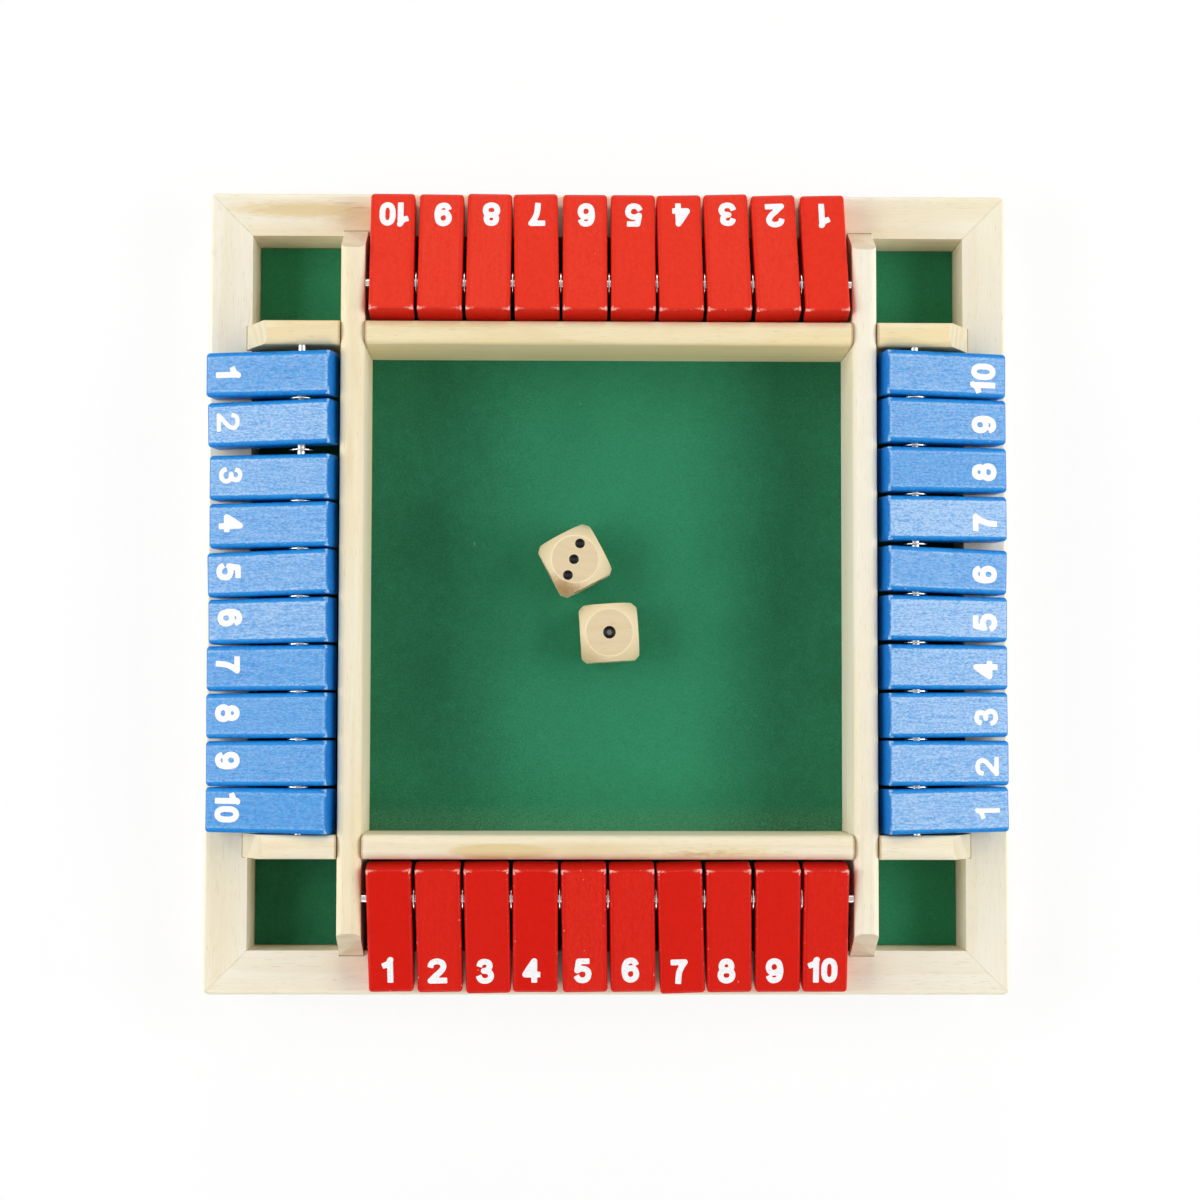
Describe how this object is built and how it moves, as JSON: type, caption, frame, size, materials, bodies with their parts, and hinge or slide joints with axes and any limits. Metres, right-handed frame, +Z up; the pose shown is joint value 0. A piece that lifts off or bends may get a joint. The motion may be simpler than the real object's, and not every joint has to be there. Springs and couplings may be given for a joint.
{
  "type": "shut the box game",
  "caption": "Square wooden tray game with rows of numbered flip tiles on steel rods along every side, a felt floor, corner compartments and loose dice.",
  "frame": {"origin": "centre of the underside, on the surface that the game stands on", "axes": "+X along the red rows, towards the right-hand blue row; +Y towards the back red row, which is the top of the picture; +Z up"},
  "size_m": [0.22, 0.22, 0.0355],
  "materials": {
    "pine": "clear satin lacquer on pale pine",
    "plywood": "bare thin plywood",
    "red_paint": "semi-gloss red paint on wood",
    "blue_paint": "satin blue paint, rubbed lighter on the broad faces",
    "die_wood": "lacquered beech with black pips",
    "felt": "short-napped green felt",
    "steel": "bright drawn wire"
  },
  "bodies": {
    "tray": {"rail_back": "pine", "rail_left": "pine", "rail_front": "pine", "rail_right": "pine", "base_panel": "plywood", "panel_brads": "steel", "felt_sheet": "felt", "divider_back": "pine", "divider_left": "pine", "divider_front": "pine", "divider_right": "pine", "rod_back": "steel", "rod_left": "steel", "rod_front": "steel", "rod_right": "steel", "washers": "steel"},
    "red_tile_back_1": {"red_tile_back_1": "red_paint"},
    "red_tile_back_2": {"red_tile_back_2": "red_paint"},
    "red_tile_back_3": {"red_tile_back_3": "red_paint"},
    "red_tile_back_4": {"red_tile_back_4": "red_paint"},
    "red_tile_back_5": {"red_tile_back_5": "red_paint"},
    "red_tile_back_6": {"red_tile_back_6": "red_paint"},
    "red_tile_back_7": {"red_tile_back_7": "red_paint"},
    "red_tile_back_8": {"red_tile_back_8": "red_paint"},
    "red_tile_back_9": {"red_tile_back_9": "red_paint"},
    "red_tile_back_10": {"red_tile_back_10": "red_paint"},
    "blue_tile_left_1": {"blue_tile_left_1": "blue_paint"},
    "blue_tile_left_2": {"blue_tile_left_2": "blue_paint"},
    "blue_tile_left_3": {"blue_tile_left_3": "blue_paint"},
    "blue_tile_left_4": {"blue_tile_left_4": "blue_paint"},
    "blue_tile_left_5": {"blue_tile_left_5": "blue_paint"},
    "blue_tile_left_6": {"blue_tile_left_6": "blue_paint"},
    "blue_tile_left_7": {"blue_tile_left_7": "blue_paint"},
    "blue_tile_left_8": {"blue_tile_left_8": "blue_paint"},
    "blue_tile_left_9": {"blue_tile_left_9": "blue_paint"},
    "blue_tile_left_10": {"blue_tile_left_10": "blue_paint"},
    "red_tile_front_1": {"red_tile_front_1": "red_paint"},
    "red_tile_front_2": {"red_tile_front_2": "red_paint"},
    "red_tile_front_3": {"red_tile_front_3": "red_paint"},
    "red_tile_front_4": {"red_tile_front_4": "red_paint"},
    "red_tile_front_5": {"red_tile_front_5": "red_paint"},
    "red_tile_front_6": {"red_tile_front_6": "red_paint"},
    "red_tile_front_7": {"red_tile_front_7": "red_paint"},
    "red_tile_front_8": {"red_tile_front_8": "red_paint"},
    "red_tile_front_9": {"red_tile_front_9": "red_paint"},
    "red_tile_front_10": {"red_tile_front_10": "red_paint"},
    "blue_tile_right_1": {"blue_tile_right_1": "blue_paint"},
    "blue_tile_right_2": {"blue_tile_right_2": "blue_paint"},
    "blue_tile_right_3": {"blue_tile_right_3": "blue_paint"},
    "blue_tile_right_4": {"blue_tile_right_4": "blue_paint"},
    "blue_tile_right_5": {"blue_tile_right_5": "blue_paint"},
    "blue_tile_right_6": {"blue_tile_right_6": "blue_paint"},
    "blue_tile_right_7": {"blue_tile_right_7": "blue_paint"},
    "blue_tile_right_8": {"blue_tile_right_8": "blue_paint"},
    "blue_tile_right_9": {"blue_tile_right_9": "blue_paint"},
    "blue_tile_right_10": {"blue_tile_right_10": "blue_paint"},
    "die_three_up": {"die_three_up": "die_wood"},
    "die_one_up": {"die_one_up": "die_wood"}
  },
  "joints": [
    {"name": "red_tile_back_1_flip", "type": "hinge", "parent": "tray", "child": "red_tile_back_1", "pos_m": [0, 0.08321, 0.02977], "axis": [1, 0, 0], "range_deg": [0, 155]},
    {"name": "red_tile_back_2_flip", "type": "hinge", "parent": "tray", "child": "red_tile_back_2", "pos_m": [0, 0.08321, 0.02977], "axis": [1, 0, 0], "range_deg": [0, 155]},
    {"name": "red_tile_back_3_flip", "type": "hinge", "parent": "tray", "child": "red_tile_back_3", "pos_m": [0, 0.08321, 0.02977], "axis": [1, 0, 0], "range_deg": [0, 155]},
    {"name": "red_tile_back_4_flip", "type": "hinge", "parent": "tray", "child": "red_tile_back_4", "pos_m": [0, 0.08321, 0.02977], "axis": [1, 0, 0], "range_deg": [0, 155]},
    {"name": "red_tile_back_5_flip", "type": "hinge", "parent": "tray", "child": "red_tile_back_5", "pos_m": [0, 0.08321, 0.02977], "axis": [1, 0, 0], "range_deg": [0, 155]},
    {"name": "red_tile_back_6_flip", "type": "hinge", "parent": "tray", "child": "red_tile_back_6", "pos_m": [0, 0.08321, 0.02977], "axis": [1, 0, 0], "range_deg": [0, 155]},
    {"name": "red_tile_back_7_flip", "type": "hinge", "parent": "tray", "child": "red_tile_back_7", "pos_m": [0, 0.08321, 0.02977], "axis": [1, 0, 0], "range_deg": [0, 155]},
    {"name": "red_tile_back_8_flip", "type": "hinge", "parent": "tray", "child": "red_tile_back_8", "pos_m": [0, 0.08321, 0.02977], "axis": [1, 0, 0], "range_deg": [0, 155]},
    {"name": "red_tile_back_9_flip", "type": "hinge", "parent": "tray", "child": "red_tile_back_9", "pos_m": [0, 0.08321, 0.02977], "axis": [1, 0, 0], "range_deg": [0, 155]},
    {"name": "red_tile_back_10_flip", "type": "hinge", "parent": "tray", "child": "red_tile_back_10", "pos_m": [0, 0.08321, 0.02977], "axis": [1, 0, 0], "range_deg": [0, 155]},
    {"name": "blue_tile_left_1_flip", "type": "hinge", "parent": "tray", "child": "blue_tile_left_1", "pos_m": [-0.08321, 0, 0.02977], "axis": [0, 1, 0], "range_deg": [0, 141]},
    {"name": "blue_tile_left_2_flip", "type": "hinge", "parent": "tray", "child": "blue_tile_left_2", "pos_m": [-0.08321, 0, 0.02977], "axis": [0, 1, 0], "range_deg": [0, 155]},
    {"name": "blue_tile_left_3_flip", "type": "hinge", "parent": "tray", "child": "blue_tile_left_3", "pos_m": [-0.08321, 0, 0.02977], "axis": [0, 1, 0], "range_deg": [0, 155]},
    {"name": "blue_tile_left_4_flip", "type": "hinge", "parent": "tray", "child": "blue_tile_left_4", "pos_m": [-0.08321, 0, 0.02977], "axis": [0, 1, 0], "range_deg": [0, 155]},
    {"name": "blue_tile_left_5_flip", "type": "hinge", "parent": "tray", "child": "blue_tile_left_5", "pos_m": [-0.08321, 0, 0.02977], "axis": [0, 1, 0], "range_deg": [0, 155]},
    {"name": "blue_tile_left_6_flip", "type": "hinge", "parent": "tray", "child": "blue_tile_left_6", "pos_m": [-0.08321, 0, 0.02977], "axis": [0, 1, 0], "range_deg": [0, 155]},
    {"name": "blue_tile_left_7_flip", "type": "hinge", "parent": "tray", "child": "blue_tile_left_7", "pos_m": [-0.08321, 0, 0.02977], "axis": [0, 1, 0], "range_deg": [0, 155]},
    {"name": "blue_tile_left_8_flip", "type": "hinge", "parent": "tray", "child": "blue_tile_left_8", "pos_m": [-0.08321, 0, 0.02977], "axis": [0, 1, 0], "range_deg": [0, 155]},
    {"name": "blue_tile_left_9_flip", "type": "hinge", "parent": "tray", "child": "blue_tile_left_9", "pos_m": [-0.08321, 0, 0.02977], "axis": [0, 1, 0], "range_deg": [0, 155]},
    {"name": "blue_tile_left_10_flip", "type": "hinge", "parent": "tray", "child": "blue_tile_left_10", "pos_m": [-0.08321, 0, 0.02977], "axis": [0, 1, 0], "range_deg": [0, 141]},
    {"name": "red_tile_front_1_flip", "type": "hinge", "parent": "tray", "child": "red_tile_front_1", "pos_m": [0, -0.08321, 0.02977], "axis": [-1, 0, 0], "range_deg": [0, 155]},
    {"name": "red_tile_front_2_flip", "type": "hinge", "parent": "tray", "child": "red_tile_front_2", "pos_m": [0, -0.08321, 0.02977], "axis": [-1, 0, 0], "range_deg": [0, 155]},
    {"name": "red_tile_front_3_flip", "type": "hinge", "parent": "tray", "child": "red_tile_front_3", "pos_m": [0, -0.08321, 0.02977], "axis": [-1, 0, 0], "range_deg": [0, 155]},
    {"name": "red_tile_front_4_flip", "type": "hinge", "parent": "tray", "child": "red_tile_front_4", "pos_m": [0, -0.08321, 0.02977], "axis": [-1, 0, 0], "range_deg": [0, 155]},
    {"name": "red_tile_front_5_flip", "type": "hinge", "parent": "tray", "child": "red_tile_front_5", "pos_m": [0, -0.08321, 0.02977], "axis": [-1, 0, 0], "range_deg": [0, 155]},
    {"name": "red_tile_front_6_flip", "type": "hinge", "parent": "tray", "child": "red_tile_front_6", "pos_m": [0, -0.08321, 0.02977], "axis": [-1, 0, 0], "range_deg": [0, 155]},
    {"name": "red_tile_front_7_flip", "type": "hinge", "parent": "tray", "child": "red_tile_front_7", "pos_m": [0, -0.08321, 0.02977], "axis": [-1, 0, 0], "range_deg": [0, 155]},
    {"name": "red_tile_front_8_flip", "type": "hinge", "parent": "tray", "child": "red_tile_front_8", "pos_m": [0, -0.08321, 0.02977], "axis": [-1, 0, 0], "range_deg": [0, 155]},
    {"name": "red_tile_front_9_flip", "type": "hinge", "parent": "tray", "child": "red_tile_front_9", "pos_m": [0, -0.08321, 0.02977], "axis": [-1, 0, 0], "range_deg": [0, 155]},
    {"name": "red_tile_front_10_flip", "type": "hinge", "parent": "tray", "child": "red_tile_front_10", "pos_m": [0, -0.08321, 0.02977], "axis": [-1, 0, 0], "range_deg": [0, 155]},
    {"name": "blue_tile_right_1_flip", "type": "hinge", "parent": "tray", "child": "blue_tile_right_1", "pos_m": [0.08321, 0, 0.02977], "axis": [0, -1, 0], "range_deg": [0, 141]},
    {"name": "blue_tile_right_2_flip", "type": "hinge", "parent": "tray", "child": "blue_tile_right_2", "pos_m": [0.08321, 0, 0.02977], "axis": [0, -1, 0], "range_deg": [0, 155]},
    {"name": "blue_tile_right_3_flip", "type": "hinge", "parent": "tray", "child": "blue_tile_right_3", "pos_m": [0.08321, 0, 0.02977], "axis": [0, -1, 0], "range_deg": [0, 155]},
    {"name": "blue_tile_right_4_flip", "type": "hinge", "parent": "tray", "child": "blue_tile_right_4", "pos_m": [0.08321, 0, 0.02977], "axis": [0, -1, 0], "range_deg": [0, 155]},
    {"name": "blue_tile_right_5_flip", "type": "hinge", "parent": "tray", "child": "blue_tile_right_5", "pos_m": [0.08321, 0, 0.02977], "axis": [0, -1, 0], "range_deg": [0, 155]},
    {"name": "blue_tile_right_6_flip", "type": "hinge", "parent": "tray", "child": "blue_tile_right_6", "pos_m": [0.08321, 0, 0.02977], "axis": [0, -1, 0], "range_deg": [0, 155]},
    {"name": "blue_tile_right_7_flip", "type": "hinge", "parent": "tray", "child": "blue_tile_right_7", "pos_m": [0.08321, 0, 0.02977], "axis": [0, -1, 0], "range_deg": [0, 155]},
    {"name": "blue_tile_right_8_flip", "type": "hinge", "parent": "tray", "child": "blue_tile_right_8", "pos_m": [0.08321, 0, 0.02977], "axis": [0, -1, 0], "range_deg": [0, 155]},
    {"name": "blue_tile_right_9_flip", "type": "hinge", "parent": "tray", "child": "blue_tile_right_9", "pos_m": [0.08321, 0, 0.02977], "axis": [0, -1, 0], "range_deg": [0, 155]},
    {"name": "blue_tile_right_10_flip", "type": "hinge", "parent": "tray", "child": "blue_tile_right_10", "pos_m": [0.08321, 0, 0.02977], "axis": [0, -1, 0], "range_deg": [0, 141]},
    {"name": "die_three_up_lift", "type": "slide", "parent": "tray", "child": "die_three_up", "axis": [0, 0, 1], "range_m": [0, 0.05]},
    {"name": "die_one_up_lift", "type": "slide", "parent": "tray", "child": "die_one_up", "axis": [0, 0, 1], "range_m": [0, 0.05]}
  ]
}
